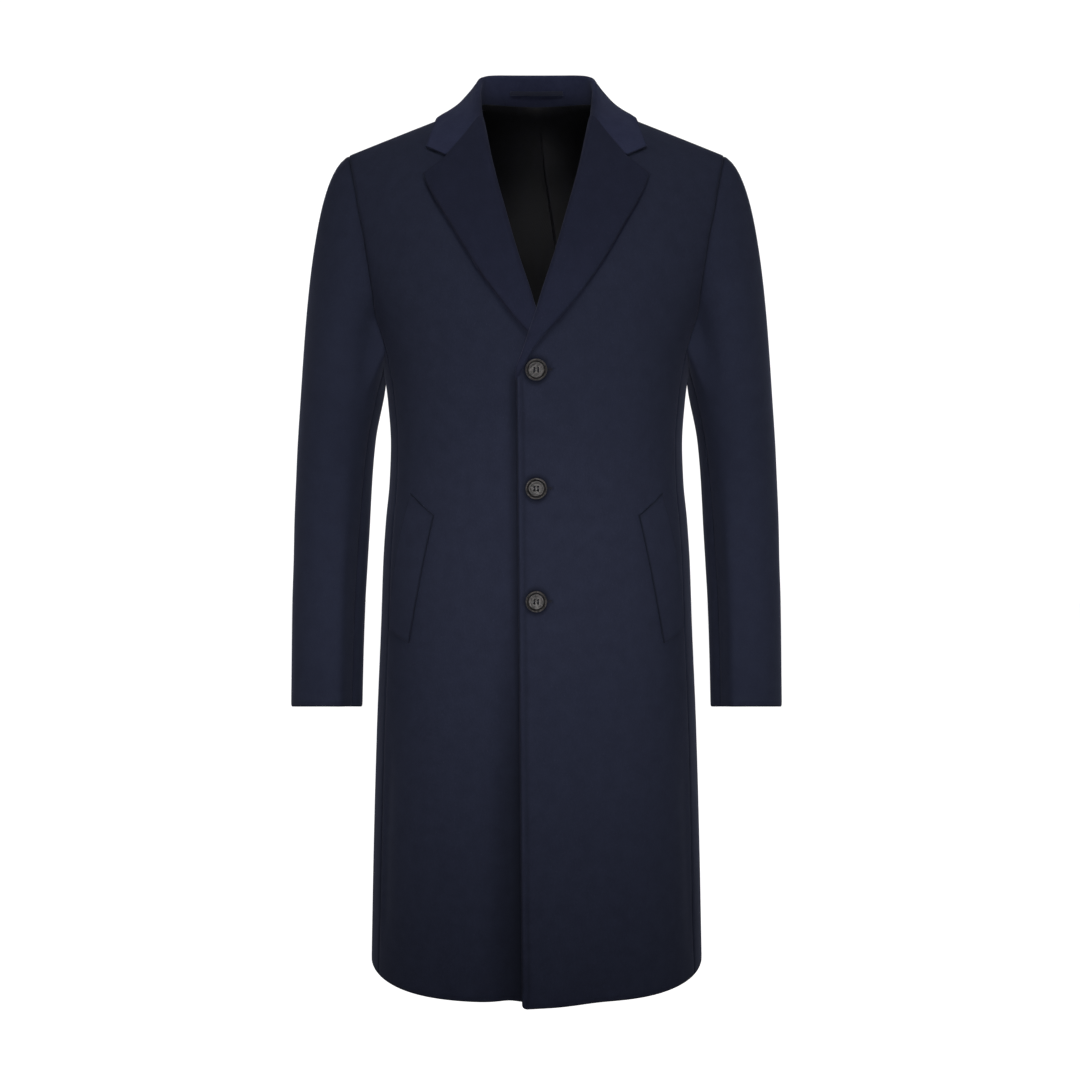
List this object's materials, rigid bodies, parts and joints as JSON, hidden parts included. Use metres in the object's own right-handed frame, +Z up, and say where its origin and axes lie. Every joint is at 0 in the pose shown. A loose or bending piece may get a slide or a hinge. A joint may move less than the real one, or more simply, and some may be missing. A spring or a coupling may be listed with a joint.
{
  "type": "wool overcoat",
  "caption": "Single-breasted knee-length overcoat with notch lapels, slanted welt pockets, set-in sleeves and a half-lined back, filled out as if worn.",
  "frame": {"origin": "on the coat's centre line, level with the shoulder seams where they meet the neck, midway between front and back: where the wearer's shoulders carry it", "axes": "+Z up, -Y towards the front, +X towards the wearer's left"},
  "size_m": [0.5894, 0.3159, 1.089],
  "materials": {
    "navy_melton": "matt, milled wool melton with a short nap",
    "navy_melton_lapel": "matt, milled wool melton, pressed",
    "black_lining": "smooth woven lining with a soft sheen",
    "black_tape": "dull woven tape",
    "grey_brown_horn": "satin, streaked, with a turned rim"
  },
  "bodies": {
    "root": {"front_left": "navy_melton", "front_right": "navy_melton", "back_left": "navy_melton", "back_right": "navy_melton", "sleeve_top_left": "navy_melton", "sleeve_top_right": "navy_melton", "sleeve_under_left": "navy_melton", "sleeve_under_right": "navy_melton", "pocket_welt_left": "navy_melton", "pocket_welt_right": "navy_melton", "lapel_left": "navy_melton_lapel", "lapel_right": "navy_melton_lapel", "collar": "navy_melton_lapel", "lining_back": "black_lining", "hanger_loop": "black_tape", "button_1": "grey_brown_horn", "button_2": "grey_brown_horn", "button_3": "grey_brown_horn"}
  },
  "joints": []
}
